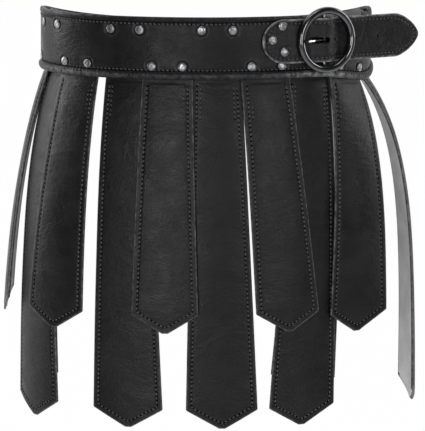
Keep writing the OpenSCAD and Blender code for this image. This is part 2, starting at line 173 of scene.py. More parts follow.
def pointShape(drop):
    # where the point begins, half the width there, and the slanting edge's height, run and length
    shoulder = drop - straps["point"]
    wide = halfWidth(shoulder, drop)
    run = wide - straps["tip"] / 2
    return shoulder, wide, straps["point"], run, math.hypot(straps["point"], run)


def edgeDistance(u, s, drop):
    # least distance to the sides, the slanting edges and the blunt tip
    shoulder, wide, high, run, size = pointShape(drop)
    slant = (high * (wide - np.abs(u)) + run * (shoulder - s)) / size
    return np.minimum(np.minimum(halfWidth(s, drop) - np.abs(u), slant), drop - s)


# Curves that several pieces share

def bell(x, middle, width):
    # exp of minus ((x - middle) / width) squared
    return np.exp(-((x - middle) / width) ** 2)


def circle(count):
    # angles evenly round a circle, in radians
    return np.linspace(0, 2 * np.pi, count, endpoint=False)


def boxy(wave, power):
    # the wave's sign times its size to a power: below 1 it turns a circle into a rounded box
    return np.sign(wave) * np.abs(wave) ** power


# Mesh making: grids of points, closed round or along, and stitches as short closed grains

def addMesh(name, points, faces, **attributes):
    # points in millimetres, and numbers per point for the materials to read
    mesh = bpy.data.meshes.new(name)
    mesh.from_pydata((np.asarray(points).reshape(-1, 3) * metre).tolist(), [], faces)
    mesh.update()
    for key, values in attributes.items():
        layer = mesh.attributes.new(key, "FLOAT", "POINT")
        layer.data.foreach_set("value", np.ascontiguousarray(values, dtype=np.float32).ravel())
    mesh.polygons.foreach_set("use_smooth", np.ones(len(mesh.polygons), dtype=bool))
    thing = bpy.data.objects.new(name, mesh)
    bpy.context.scene.collection.objects.link(thing)
    return thing


def tubeQuads(rows, columns, closedAlong):
    # point r of one loop, its neighbour round the loop, and both again in the next loop
    r = np.arange(rows if closedAlong else rows - 1)[:, None]
    c = np.arange(columns)[None, :]
    nextRow, nextColumn = (r + 1) % rows, (c + 1) % columns
    return np.stack([r * columns + c, r * columns + nextColumn,
                     nextRow * columns + nextColumn, nextRow * columns + c], axis=-1).reshape(-1, 4)


def manyTubes(count, rows, columns):
    # faces of equal tubes, numbered on from one to the next, each with a cap at both ends
    shift = (np.arange(count) * rows * columns)[:, None]
    first, last = np.arange(columns)[::-1], np.arange(columns) + (rows - 1) * columns
    quads = (tubeQuads(rows, columns, False)[None] + shift[:, :, None]).reshape(-1, 4)
    return quads.tolist() + (first + shift).tolist() + (last + shift).tolist()


def addTube(name, loops, closedAlong=False, **attributes):
    # a closed piece from a grid of points whose rows are loops, capped or joined at its ends
    rows, columns = loops.shape[:2]
    faces = tubeQuads(rows, columns, True).tolist() if closedAlong else manyTubes(1, rows, columns)
    return addMesh(name, loops, faces, **attributes)


def facesOutward(thing):
    # a closed piece whose signed volume is negative is turned the right way round
    mesh = thing.data
    mesh.calc_loop_triangles()
    corner = np.empty(len(mesh.loop_triangles) * 3, dtype=np.int64)
    mesh.loop_triangles.foreach_get("vertices", corner)
    place = np.empty(len(mesh.vertices) * 3)
    mesh.vertices.foreach_get("co", place)
    a, b, c = place.reshape(-1, 3)[corner.reshape(-1, 3)].transpose(1, 0, 2)
    if np.einsum("ij,ij->i", a, np.cross(b, c)).sum() < 0:
        mesh.flip_normals()
    return thing


grain = dict(rings=5, sides=6)


def addGrains(name, start, end, lift, size):
    # grains from start to end: rings of a sine-shaped radius, flattened along their lift
    along = end - start
    side = np.cross(along, lift)
    side /= np.linalg.norm(side, axis=-1, keepdims=True)
    up = lift / np.linalg.norm(lift, axis=-1, keepdims=True)
    share = np.linspace(0, 1, grain["rings"])
    radius = np.sin(np.pi * (0.08 + 0.84 * share)) ** 0.6
    turn = circle(grain["sides"])
    centre = start[:, None, None] + along[:, None, None] * share[None, :, None, None]
    ring = (side[:, None, None] * (size[0] / 2 * np.cos(turn))[None, None, :, None]
            + up[:, None, None] * (size[1] / 2 * np.sin(turn))[None, None, :, None])
    points = centre + ring * radius[None, :, None, None]
    return addMesh(name, points, manyTubes(len(points), grain["rings"], grain["sides"]))


def alongLine(line, spacing, length):
    # starts and ends of stitches of one length, evenly spaced along a line of 2-D points
    line = np.asarray(line, dtype=float)
    reach = np.concatenate([[0], np.cumsum(np.linalg.norm(np.diff(line, axis=0), axis=1))])
    count = max(int(reach[-1] / spacing), 1)
    middle = (np.arange(count) + 0.5) * reach[-1] / count
    ends = []
    for offset in (-length / 2, length / 2):
        at = np.clip(middle + offset, 0, reach[-1])
        ends.append(np.stack([np.interp(at, reach, line[:, 0]), np.interp(at, reach, line[:, 1])], -1))
    return ends


# Materials: small helpers that add one node each and return its output

def newMaterial(name):
    # the material, its node tree, its shader and the place on the object, in metres
    material = bpy.data.materials.new(name)
    material.use_nodes = True
    tree = material.node_tree
    place = tree.nodes.new("ShaderNodeTexCoord").outputs["Object"]
    return material, tree, tree.nodes["Principled BSDF"], place


def plug(tree, value, socket):
    # an output is linked, a number or colour is set
    if hasattr(value, "is_output"):
        tree.links.new(value, socket)
    else:
        socket.default_value = value


def feed(tree, node, inputs):
    # each input by its name
    for name, value in inputs.items():
        plug(tree, value, node.inputs[name])


def noiseNode(tree, source, scale, detail=3.0, roughness=0.5, distortion=0.0, stretch=None):
    # fractal noise of the place, which is stretched first when asked
    if stretch:
        mapping = tree.nodes.new("ShaderNodeMapping")
        feed(tree, mapping, {"Scale": stretch, "Vector": source})
        source = mapping.outputs["Vector"]
    noise = tree.nodes.new("ShaderNodeTexNoise")
    feed(tree, noise, {"Vector": source, "Scale": scale, "Detail": detail, "Roughness": roughness,
                       "Distortion": distortion})
    return noise.outputs["Fac"]


def rampNode(tree, source, stops):
    # straight lines between the stops, each a place with a grey or a colour
    ramp = tree.nodes.new("ShaderNodeValToRGB")
    elements = ramp.color_ramp.elements
    for element, (place, value) in zip(elements, stops):
        element.position = place
        element.color = (*value, 1) if hasattr(value, "__len__") else (value, value, value, 1)
    tree.links.new(source, ramp.inputs["Fac"])
    return ramp.outputs["Color"]


def mixColour(tree, factor, first, second):
    # first times (1 - factor) plus second times the factor
    mix = tree.nodes.new("ShaderNodeMix")
    mix.data_type = "RGBA"
    for name, value in (("Factor_Float", factor), ("A_Color", first), ("B_Color", second)):
        plug(tree, value, next(s for s in mix.inputs if s.identifier == name))
    return next(s for s in mix.outputs if s.identifier == "Result_Color")


def mathNode(tree, operation, first, second):
    # the two values added, multiplied, or the smaller or larger of them
    node = tree.nodes.new("ShaderNodeMath")
    node.operation = operation
    plug(tree, first, node.inputs[0])
    plug(tree, second, node.inputs[1])
    return node.outputs[0]


def bumpNode(tree, height, strength, distance, below=None):
    # tilts the normal by the slope of the height, on top of the bump below it
    bump = tree.nodes.new("ShaderNodeBump")
    feed(tree, bump, {"Strength": strength, "Distance": distance, "Height": height})
    if below:
        tree.links.new(below, bump.inputs["Normal"])
    return bump.outputs["Normal"]


def attributeNode(tree, name):
    # a number stored with the mesh's points, 0 where the mesh has none of that name
    node = tree.nodes.new("ShaderNodeAttribute")
    node.attribute_name = name
    return node.outputs["Fac"]


def leatherMaterial(name, dark, pale, wornGrey, rough, grainDepth=0.4, wearShare=0.5, creaseDepth=0.42,
                    gloss=0.24):
    # pebbled grain of small cells, long soft creases, cloudy tone, paler where worn, and painted shade where
    # the mesh is marked sunk
    material, tree, shader, place = newMaterial(name)
    tone = rampNode(tree, noiseNode(tree, place, 26, detail=5, roughness=0.6), [(0.32, dark), (0.72, pale)])
    scuff = rampNode(tree, noiseNode(tree, place, 210, detail=4, roughness=0.7), [(0.40, 0.15), (0.66, 1.0)])
    # paler where worn: partly real wear, partly painted highlight on strap and buckle-strap edges and on the
    # hem's sheen patches
    share = mathNode(tree, "MULTIPLY", attributeNode(tree, "wear"), scuff)
    colour = mixColour(tree, mathNode(tree, "MULTIPLY", share, wearShare), tone, (*wornGrey, 1))
    # painted shade: towards black where the mesh marks a sunk seam or a pressed ring
    sunk = mathNode(tree, "MULTIPLY", attributeNode(tree, "sunk"), 0.9)
    colour = mixColour(tree, sunk, colour, (0.001, 0.001, 0.001, 1))
    smear = noiseNode(tree, place, 60, detail=4, roughness=0.6)
    shine = rampNode(tree, smear, [(0.3, rough - 0.07), (0.75, rough + 0.10)])
    cells = tree.nodes.new("ShaderNodeTexVoronoi")
    cells.feature = "SMOOTH_F1"
    feed(tree, cells, {"Scale": 1100, "Vector": place})
    crease = noiseNode(tree, place, 30, detail=6, roughness=0.66, distortion=0.25, stretch=(0.8, 0.8, 1.5))
    bumps = bumpNode(tree, crease, creaseDepth, 0.004)
    bumps = bumpNode(tree, noiseNode(tree, place, 700, detail=2), grainDepth, 0.0004, bumps)
    bumps = bumpNode(tree, cells.outputs["Distance"], grainDepth, 0.0003, bumps)
    feed(tree, shader, {"Base Color": colour, "Specular IOR Level": gloss, "Roughness": shine, "Normal": bumps})
    return material


def metalMaterial(name, bright, dull, rough, dentScale=300, dentDepth=0.3, bare=None):
    # bright metal, with tarnish in patches and small dents, and bare metal where the plating is worn, which on
    # the prong also paints a highlight
    material, tree, shader, place = newMaterial(name)
    patch = noiseNode(tree, place, 240, detail=4, roughness=0.6)
    colour = rampNode(tree, patch, [(0.45, dull), (0.7, bright)])
    if bare:
        colour = mixColour(tree, attributeNode(tree, "wear"), colour, (*bare, 1))
    haze = rampNode(tree, patch, [(0.35, rough + 0.12), (0.7, rough)])
    dents = bumpNode(tree, noiseNode(tree, place, dentScale, detail=2), dentDepth, 0.0006)
    feed(tree, shader, {"Base Color": colour, "Metallic": 1.0, "Roughness": haze, "Normal": dents})
    return material


def threadMaterial(name, dark, pale, gloss):
    # twisted thread: small tufts, matt
    material, tree, shader, place = newMaterial(name)
    tuft = noiseNode(tree, place, 900, detail=3)
    feed(tree, shader, {"Base Color": rampNode(tree, tuft, [(0.35, dark), (0.7, pale)]), "Roughness": 0.6,
                        "Specular IOR Level": gloss, "Normal": bumpNode(tree, tuft, 0.5, 0.0003)})
    return material


beltLeather = leatherMaterial("beltLeather", 0.0035, 0.008, (0.13, 0.13, 0.135), 0.36, gloss=0.20)
# its worn grey is raised at two patches into a painted sheen
hemLeather = leatherMaterial("hemLeather", 0.002, 0.005, (0.34, 0.34, 0.35), 0.36, wearShare=0.28, gloss=0.14)
# its worn grey paints the strap edges pale: partly wear, partly a painted highlight along the edges
strapLeather = leatherMaterial("strapLeather", 0.004, 0.010, (0.30, 0.30, 0.31), 0.37)
# its worn grey paints the edges pale: partly the lighter cut edge, partly a painted highlight on it
buckleStrapLeather = leatherMaterial("buckleStrapLeather", 0.004, 0.010, (0.42, 0.42, 0.43), 0.36,
                                     wearShare=0.95, creaseDepth=0.7)
flapLeather = leatherMaterial("flapLeather", 0.006, 0.016, (0.08, 0.08, 0.08), 0.5)
strapLining = leatherMaterial("strapLining", 0.50, 0.72, (0.02, 0.02, 0.02), 0.62, grainDepth=0.2,
                              wearShare=1.0, creaseDepth=0.2)
beltLining = leatherMaterial("beltLining", 0.10, 0.19, (0.10, 0.10, 0.10), 0.62, grainDepth=0.3,
                             creaseDepth=0.3)
# grey thread: a painted sheen on the stitches, paler than black thread
paintedSheenThread = threadMaterial("paintedSheenThread", 0.03, 0.10, gloss=0.3)
# near-black grains: painted shade in the stitch holes
paintedHoleShade = threadMaterial("paintedHoleShade", 0.0005, 0.0008, gloss=0.0)
rivetMetal = metalMaterial("rivetMetal", (0.55, 0.56, 0.57), (0.16, 0.16, 0.17), 0.30)
ringMetal = metalMaterial("ringMetal", (0.17, 0.171, 0.176), (0.12, 0.121, 0.126), 0.05,
                          dentScale=60, dentDepth=0.04)
prongMetal = metalMaterial("prongMetal", (0.03, 0.03, 0.032), (0.02, 0.02, 0.022), 0.20, dentDepth=0.1,
                           bare=(0.9, 0.9, 0.9))
print("materials ready")


def finishPiece(thing, material, body=None, replaced=()):
    # its material, its faces outwards, and what the frame needs to know of it
    facesOutward(thing)
    thing.data.materials.append(material)
    if replaced:
        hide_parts(*replaced)
    if body:
        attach(thing, body)


def addSeam(names, body, seam, place, level, starts, ends, holes):
    # stitches a little askew, and near-black grains between them as painted shade in the deeper holes, where
    # place(a, b, out) gives their points
    rows = ((paintedSheenThread, seam["thread"], level, starts, ends, np.array(seam["askew"])),
            (paintedHoleShade, seam["hole"], level - seam["holeSunk"], holes, holes, -np.array(seam["holeHalf"])))
    for name, (material, size, out, a, b, step) in zip(names, rows):
        lift = place(*a.T, level + 1) - place(*a.T, level)
        thing = addGrains(name, place(*(a + step).T, out), place(*(b - step).T, out), lift, size)
        finishPiece(thing, material, body)


# Belt leather: the band swells between its rivets, which hold it down

rivets = dict(spacing=30.0, edge=12.5, radius=4.3, height=1.6, rim=0.30, shank=1.5, reach=9.3)
band = dict(
    steps=(1100, 56), backRows=6, seamReach=3.0,
    pillow=0.5, heldReach=5.2,  # how far it swells, and how far a rivet holds it
    # radius and width of the rings round a rivet: pressed in by its rim and painted dark as shade, standing up,
    # worn pale
    pressed=(4.9, 0.9), pressDepth=0.7, raised=(7.4, 1.4), raisedHeight=0.22, worn=(6.6, 1.3), wornShare=0.55,
)
beltSeam = dict(pitch=4.2, length=3.1, ends=2.0, thread=(1.3, 0.8), askew=(0, 0.25),
                hole=(2.0, 0.9), holeHalf=(0.75, 0), holeSunk=0.05)
hem = dict(
    steps=900, mostWear=2.6,
    # painted sheen: patches where the hem's wear is raised to stand in for its highlights
    paintedSheen=((120.0, 34.0, 6.0), (-165.0, 45.0, 2.5)),  # station, width, strength: at the buckle, at the left
    upper=dict(bulge=0.9, power=0.5, pucker=0.10, worn=[0] * 3 + [0.1] * 5 + [0.4] * 3 + [0.2]),
    lower=dict(bulge=2.7, power=0.55, pucker=0.22, worn=[
        0.1, 0.25, 0.3, 0.35, 0.4, 0.5, 0.55, 0.6, 0.55, 0.45, 0.3, 0.2, 0.1, 0.1, 0, 0]),
)
lining = dict(face=-9.3, back=-10.5, margin=2.0, steps=400)
flap = dict(before=26.0, after=44.0, gap=1.2, steps=60, around=40)
bandLow, bandHigh = belt["bottom"] + belt["lowerHem"], belt["top"] - belt["upperHem"]
insideLow, insideHigh = belt["bottom"] + lining["margin"], belt["top"] - lining["margin"]


def rivetPlaces(group, z):
    # two rivets for each strap, side by side
    return [(s + side * rivets["spacing"] / 2, z) for s in group for side in (-1, 1)]


lowerRivetPlaces = rivetPlaces(stations[1::2], belt["bottom"] + rivets["edge"])
upperRivetPlaces = rivetPlaces(stations[::2], belt["top"] - rivets["edge"])
allRivets = np.array(lowerRivetPlaces + upperRivetPlaces)
beltStart = seamStation + belt["seamGap"] / 2
beltEnd = seamStation + circumference - belt["seamGap"] / 2


def rivetDistance(station, z):
    # root of the least sum of squares along and across the belt
    along = shortWay(station[..., None] - allRivets[:, 0])
    return np.sqrt((along ** 2 + (z[..., None] - allRivets[:, 1]) ** 2).min(axis=-1))


def makeBeltBand():
    # the outer face is a pillow held down by the rivets and the two seams, the inner face is flat
    station = np.linspace(beltStart, beltEnd, band["steps"][0])[:, None]
    z = np.linspace(bandLow, bandHigh, band["steps"][1])[None, :]
    far = rivetDistance(station + 0 * z, z + 0 * station)
    free = 1 - np.exp(-far ** 2 / (2 * band["heldReach"] ** 2))
    free *= np.clip(1 - bell(z, bandLow, band["seamReach"]) - bell(z, bandHigh, band["seamReach"]), 0, 1)
    wave = 0.5 + 0.25 * np.sin(station * 0.11 + z * 0.09) + 0.25 * np.sin(station * 0.047 - z * 0.16 + 1.3)
    ring = bell(far, *band["pressed"])
    out = band["pillow"] * free * (0.55 + 0.6 * wave) - band["pressDepth"] * ring
    out += band["raisedHeight"] * bell(far, *band["raised"])
    back = beltPoint(station, np.linspace(bandHigh, bandLow, band["backRows"])[None, :], -belt["thick"])
    loops = np.concatenate([beltPoint(station, z, out), back], axis=1)
    worn = band["wornShare"] * bell(far, *band["worn"])
    # the pressed ring is also stored as sunk: painted shade round each rivet
    wear, sunk = (np.concatenate([front, np.zeros(back.shape[:2])], axis=1) for front in (worn, ring))
    thing = addTube("beltBand", loops, wear=wear, sunk=sunk)
    finishPiece(thing, beltLeather, "belt", ["belt_band"])


def makeHem(name, node, z0, z1, bulge, power, pucker, worn):
    # the sine of the height, to a power, in front of a flat back, pulled in between the stitches
    share = np.linspace(0, 1, len(worn))
    out = np.append(bulge * np.sin(np.pi * (0.04 + 0.92 * share)) ** power, [-belt["thick"]] * 2)
    z = np.append(z0 + (z1 - z0) * share, [z1, z0])
    loose = np.append(np.sin(np.pi * share), [0, 0])
    station = np.linspace(beltStart, beltEnd, hem["steps"])[:, None]
    pull = pucker * np.cos(2 * np.pi * station / beltSeam["pitch"])
    swell = 0.12 * np.sin(station * 0.083) + 0.10 * np.sin(station * 0.031 + 2)
    loops = beltPoint(station, z, out + loose * (pull + swell))
    front = shortWay(station)
    # the crest's wear, raised by the painted sheen near the buckle and at the left
    paintedSheen = 1 + sum(strength * bell(front, place, width) for place, width, strength in hem["paintedSheen"])
    wear = np.minimum(np.append(worn, [0, 0]) * paintedSheen, hem["mostWear"])
    finishPiece(addTube(name, loops, wear=wear), hemLeather, "belt", [node])


def makeBeltLining():
    # a flat sheet with small bevels, whose back stands out a little in the middle
    low, high, face, back = insideLow, insideHigh, lining["face"], lining["back"]
    outline = np.array([
        (face, low + 0.3), (face, high - 0.3), (face - 0.4, high), (back + 0.3, high), (back, high - 0.4),
        (back, high - 5), (back - 0.1, 10), (back - 0.15, 0), (back - 0.1, -10), (back, low + 5),
        (back, low + 0.4), (back + 0.3, low), (face - 0.4, low)])
    station = np.linspace(beltStart, beltEnd, lining["steps"])[:, None]
    loops = beltPoint(station, outline[:, 1], outline[:, 0])
    finishPiece(addTube("beltLining", loops), beltLining, "belt", ["belt_lining"])


def makeUnderLap():
    # the flap behind the seam, with rounded edges
    low, high, thick = insideLow, insideHigh, straps["thick"]
    station = np.linspace(seamStation - flap["before"], seamStation + flap["after"], flap["steps"])[:, None]
    turn = circle(flap["around"])
    out = lining["back"] - flap["gap"] - thick / 2 + thick / 2 * boxy(np.cos(turn), 0.5)
    loops = beltPoint(station, (low + high) / 2 + (high - low) / 2 * boxy(np.sin(turn), 0.25), out)
    wear = np.broadcast_to(np.abs(np.sin(turn)) ** 30, loops.shape[:2])
    finishPiece(addTube("underLap", loops, wear=wear), flapLeather, "belt", ["under_lap"])


def makeBeltStitches(name, z, out):
    # one row round the belt, from seam to seam
    line = [(beltStart + beltSeam["ends"], z), (beltEnd - beltSeam["ends"], z)]
    starts, ends = alongLine(line, beltSeam["pitch"], beltSeam["length"])
    holes = (ends[:-1] + starts[1:]) / 2
    addSeam((name, f"{name}Holes"), "belt", beltSeam, beltPoint, out, starts, ends, holes)


makeBeltBand()
makeHem("upperHem", "upper_hem", bandHigh, belt["top"], **hem["upper"])
makeHem("lowerHem", "lower_hem", belt["bottom"], bandLow, **hem["lower"])
makeBeltLining()
makeUnderLap()
makeBeltStitches("upperSeam", bandHigh - 1.6, 0.22)
makeBeltStitches("lowerSeam", bandLow + 1.0, 0.28)
print("belt leather made")


# Straps: outer face with a sunk seam, rounded edges, the tab inside the belt in one piece with the leaf

leaf = dict(
    front=((0.0, 0.35, 0.8, 1.4, 2.6, 3.8, 4.7, 5.4, 6.1, 7.0, 8.4), 9),  # steps from an edge, and between
    back=((0.0, 0.5, 1.4, 4.0), 6), liningFront=((0.0, 0.5), 5), liningBack=((0.0, 0.3, 0.9, 2.4), 8),
    narrowAt=14.0,
    shortRelief=(0.42, 0.22), longRelief=(0.18, 0.10),  # how far the face rises and waves
    groove=0.4, grooveWidth=0.85, edgeHeight=0.25, edgeReach=1.2,
    foldUp=3.0, foldDown=4.0,  # the bend reaches so far above and below the hinge
    liningInset=3.0, liningThick=1.0, liningGap=0.05,
)
leafSeam = dict(
    inset=5.4, pitch=4.3, length=3.2, start=5.0,
    second=3.6, secondEnd=36.0,  # a short row further in, down to this depth
    sunk=0.16, thread=(1.5, 0.9), askew=(-0.22, 0), hole=(2.5, 1.1), holeHalf=(0, 0.95), holeSunk=0.12,
)


def strapFacts(number, isLong):
    # its place among the stations, the first word of its names, its length under the hinge
    if isLong:
        return 2 * number - 2, "inner", straps["longDrop"]
    return 2 * number - 1, "outer", straps["shortDrop"]


def leafRows(top, drop):
    # depths: few inside the belt, close at the bend, even down the strap, close again round the point
    shoulder = drop - straps["point"]
    return np.concatenate([np.linspace(-top, -8, 6), np.linspace(-6, 8, 15), np.arange(11, shoulder - 4, 3.4),
                           np.linspace(shoulder - 3, drop - 1.4, 18), [drop - 0.8, drop - 0.35, drop]])


def crossSteps(half, front, back):
    # for each face: distances from the left edge inwards, an even middle, the same distances from the right
    sides = []
    for steps, middle in (leaf[front], leaf[back]):
        inset = np.array(steps)[None, :] * np.minimum(1.0, half / leaf["narrowAt"])
        even = np.linspace(-1, 1, middle + 2)[None, 1:-1] * (half - inset[:, -1:])
        sides.append(np.concatenate([inset - half, even, (half - inset)[:, ::-1]], axis=1))
    u = np.concatenate([sides[0], sides[1][:, ::-1]], axis=1)
    return u, np.arange(u.shape[1])[None, :] < sides[0].shape[1]


def leafRelief(i, u, s, drop, isLong):
    # the outer face rises a little between its seams, waves slowly, and sinks along the stitching
    far = edgeDistance(u, s, drop)
    rise, sway = leaf["longRelief" if isLong else "shortRelief"]
    swell = rise * np.clip((far - leafSeam["inset"]) / 9.0, 0, 1) ** 0.7
    phase = i * 1.7
    wave = sway * np.sin(s * 0.045 + phase) * np.cos(u * 0.09 + phase)
    sunk = -leaf["groove"] * bell(far, leafSeam["inset"], leaf["grooveWidth"])
    return (swell + wave * (s > 12) + sunk) * (s > 2)


def makeLeaf(number, isLong):
    # half the thickness times a rounded edge, plus the relief on the outer face
    i, kind, drop = strapFacts(number, isLong)
    top = straps["longTab" if isLong else "shortTab"] - straps["hingeZ"]
    s = leafRows(top, drop)[:, None]
    u, isFront = crossSteps(halfWidth(s, drop), "front", "back")
    far = np.maximum(edgeDistance(u, s, drop), 0)
    edge = 1 - np.clip(far / leaf["edgeReach"], 0, 1)
    height = straps["thick"] / 2 * (leaf["edgeHeight"] + (1 - leaf["edgeHeight"]) * np.sqrt(1 - edge ** 2))
    out = np.where(isFront, height + leafRelief(i, u, s, drop, isLong), -height)
    # pale edges: partly edge wear, partly a painted highlight along the edges
    wear = bell(far, 0, 1.1) * np.where(isFront, 1.0, 0.4)
    # painted shade along the stitching groove, stored as sunk
    sunk = bell(far, leafSeam["inset"], 1.0) * isFront * (s > 3)
    thing = addTube(f"{kind}Strap{number}", shellPoint(i, isLong, u, s, out), wear=wear, sunk=sunk)
    body = f"{kind}_strap_{number}"
    finishPiece(thing, strapLeather, replaced=[body, f"{kind}_row_tabs"])
    joint = next(j for j in frame["joints"] if j["child"] == body)
    pivot, axis = Vector(joint["pos_m"]), Vector(joint["axis"]).normalized()
    down = axis.cross(Vector((*ringNormal(ringAngle(stations[i])), 0))).normalized()
    if down.z > 0:
        down = -down
    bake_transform(thing)


def seamLine(drop, inset, first):
    # down one side, round the point and up the other side, at one distance inside the edge
    shoulder, wide, high, run, size = pointShape(drop)
    corner = shoulder + (high * inset - size * inset) / run
    bottom = min(shoulder + (high * wide - size * inset) / run, drop - inset)
    side = [(halfWidth(s, drop) - inset, s) for s in np.linspace(first, corner, 12)]
    return side + [(0.0, bottom)] + [(-u, s) for u, s in side[::-1]]


def leafSeamRows(drop, length):
    # starts and ends along the edge seam, and along the short row inside it on each side
    first, last = leafSeam["start"], leafSeam["secondEnd"]
    inner = leafSeam["inset"] + leafSeam["second"]
    lines = [seamLine(drop, leafSeam["inset"], first)]
    lines += [[(side * (halfWidth(s, drop) - inner), s) for s in (first, last)] for side in (-1, 1)]
    rows = [alongLine(line, leafSeam["pitch"], length) for line in lines]
    return [np.concatenate([row[k] for row in rows]) for k in (0, 1)]


def makeLeafStitches(number, isLong):
    # stitches lie in the groove; a hole is half a pitch after each stitch's middle
    i, kind, drop = strapFacts(number, isLong)
    starts, ends = leafSeamRows(drop, leafSeam["length"])
    addSeam((f"{kind}Stitches{number}", f"{kind}Holes{number}"), f"{kind}_strap_{number}",
            leafSeam, lambda *at: shellPoint(i, isLong, *at),
            straps["thick"] / 2 - leafSeam["sunk"], starts, ends, leafSeamRows(drop, leafSeam["pitch"])[1])


def makeLeafLining(number, isLong):
    # a thin sheet glued behind the leaf, inset from its edges
    i, kind, drop = strapFacts(number, isLong)
    inset, shoulder = leaf["liningInset"], drop - straps["point"]
    end = drop - inset
    s = np.concatenate([np.linspace(inset, shoulder - 6, 60), np.linspace(shoulder - 4, end - 1.2, 14),
                        [end - 0.5, end]])[:, None]
    half = np.maximum(halfWidth(s, drop) - inset * np.where(s > shoulder - 3, 1.9, 1.0), 1.0)
    u, isFront = crossSteps(half, "liningFront", "liningBack")
    edge = np.clip((half - np.abs(u)) / 0.9, 0, 1)
    face = -straps["thick"] / 2 - leaf["liningGap"]
    out = np.where(isFront, face, face - leaf["liningThick"] * (0.45 + 0.55 * edge))
    # the lining is darker towards its edges
    thing = addTube(f"{kind}Lining{number}", shellPoint(i, isLong, u, s, out), wear=0.3 * (1 - edge))
    finishPiece(thing, strapLining, f"{kind}_strap_{number}", [f"{kind}_lining_{number}"])


for strapNumber in range(1, 10):
    for isLongStrap in (False, True):
        makeLeaf(strapNumber, isLongStrap)
        makeLeafStitches(strapNumber, isLongStrap)
        makeLeafLining(strapNumber, isLongStrap)
print("straps made")


# Rivets: low worn domes, each beaten a little differently

def makeRivets(name, places, out, reach, node):
    # rings from the shank's end, along it, out under the rim and over the dome to its top
    r, h, shank = rivets["radius"], rivets["height"], rivets["shank"]
    rim = rivets["rim"] * h
    profile = [(shank, -reach), (shank, -0.05), (r - 0.15, -0.02), (r, 0.1), (r, rim)]
    dome = [a * degree for a in range(18, 90, 12)]
    profile += [(r * math.cos(a), rim + (h - rim) * math.sin(a)) for a in dome] + [(0.25, h)]
    radius, height = (np.array([p[k] for p in profile])[None, :, None] for k in (0, 1))
    turn = circle(28)
    number = np.arange(len(places))[:, None, None]
    # out of round by two waves; the dome leans, and a hammer has left a shallow dip somewhere on it
    beaten = 0.16 * np.sin(2 * turn + 1.9 * number) + 0.10 * np.sin(3 * turn + 4.1 * number)
    share = np.clip(height / h, 0, 1)
    wide = radius * (1 + 0.035 * beaten * (height > 0))
    u, v = wide * np.cos(turn), wide * np.sin(turn)
    tilt = 0.15 / r * (np.sin(number * 2.3) * u + np.cos(number * 1.7) * v)
    dip = 0.28 * np.exp(-((u - np.cos(number * 2.1)) ** 2 + (v - np.sin(number * 3.3)) ** 2) / 3.2)
    lift = height + share * (tilt - dip)
    station, z = (np.array([p[k] for p in places])[:, None, None] for k in (0, 1))
    t = ringAngle(station)
    (x, y), (nx, ny) = ringPoint(t, out), ringNormal(t)
    points = np.stack([x - ny * u + nx * lift, y + nx * u + ny * lift, z + ringDrop(t) + v], axis=-1)
    thing = addMesh(name, points, manyTubes(len(places), len(profile), len(turn)))
    finishPiece(thing, rivetMetal, "belt", [node])


makeRivets("lowerRivets", lowerRivetPlaces, 0.0, rivets["reach"], "lower_rivets")
makeRivets("upperRivets", upperRivetPlaces, 0.0, rivets["reach"], "upper_rivets")
print("rivets made")


# Buckle: its own frame has x along the belt, out away from it and z up

buckle = dict(
    station=118.0, rise=6.0, turn=3.0,
    ringRadius=28.6, wire=3.4, wirePower=0.86, bar=1.8, barOut=3.5, ringOut=8.0, loop=3.2,
    prong=1.5, prongTip=2.0, prongClear=0.3, prongEnd=2.2, prongTaper=0.18, eyeHalf=1.9,
    # the bare band between these is partly worn plating, partly a painted highlight on the prong
    wornFrom=15.5, wornEnd=3.6,  # the prong's plating is worn off between these
)
billet = dict(
    height=42.5, thick=2.4, back=64.0, reach=109.0, tip=27.0, backOut=1.9, under=2.8, over=8.2,
    joinBack=38.0, joinX=-30.0, riseReach=19.0,
    slot=(-17.0, 3.5), slotHalf=2.7, slotDepth=(-8.0, 22.0),
    holes=(11.0, 36.0, 61.0), holeRadius=1.6,
    holeDepth=(-1.4, 2.2), holeSpread=(-1.42, 0.38),  # narrower at the back, as an awl leaves it
    rivetsBack=((44.5, 15.0), (54.5, 2.0), (42.5, -10.0)), rivetReach=7.0, pressed=0.3,
    # height, distance from the edge and width; the creases lie along x and slant with z
    rim=(0.30, 1.6, 1.1), groove=(-0.40, 4.4, 0.9), held=(0.25, 9.0, 4.0),
    creases=((-0.30, 44.0, 1.2, 0.25), (-0.22, 49.0, 1.0, -0.2)),
)
billetSeam = dict(inset=4.4, pitch=4.2, length=3.1, sunk=0.12, thread=(1.2, 0.8), askew=(0, 0.2),
                  hole=(1.6, 0.8), holeHalf=(0.7, 0), holeSunk=0.1)
chape = dict(thick=1.2, half=12.6, innerHalf=2.25, offset=0.3, length=52.0, clear=3.0, middleAt=5.0)
buckleAngle = ringAngle(buckle["station"])
buckleX, buckleY = ringPoint(buckleAngle, 0.0)
normalX, normalY = ringNormal(buckleAngle)
heading = math.atan2(normalX, -normalY) - buckle["turn"] * degree
alongX, alongY = math.cos(heading), math.sin(heading)


def bucklePoint(x, out, z):
    # the buckle's middle plus x times (cos h, sin h) plus out times (sin h, -cos h)
    east, north = buckleX + x * alongX + out * alongY, buckleY + x * alongY - out * alongX
    return np.stack(np.broadcast_arrays(east, north, z + buckle["rise"]), axis=-1)


def beltInBuckle(station, out):
    # the inverse of bucklePoint for a point of the belt's ring
    x, y = ringPoint(ringAngle(station), out)
    x, y = x - buckleX, y - buckleY
    return x * alongX + y * alongY, x * alongY - y * alongX


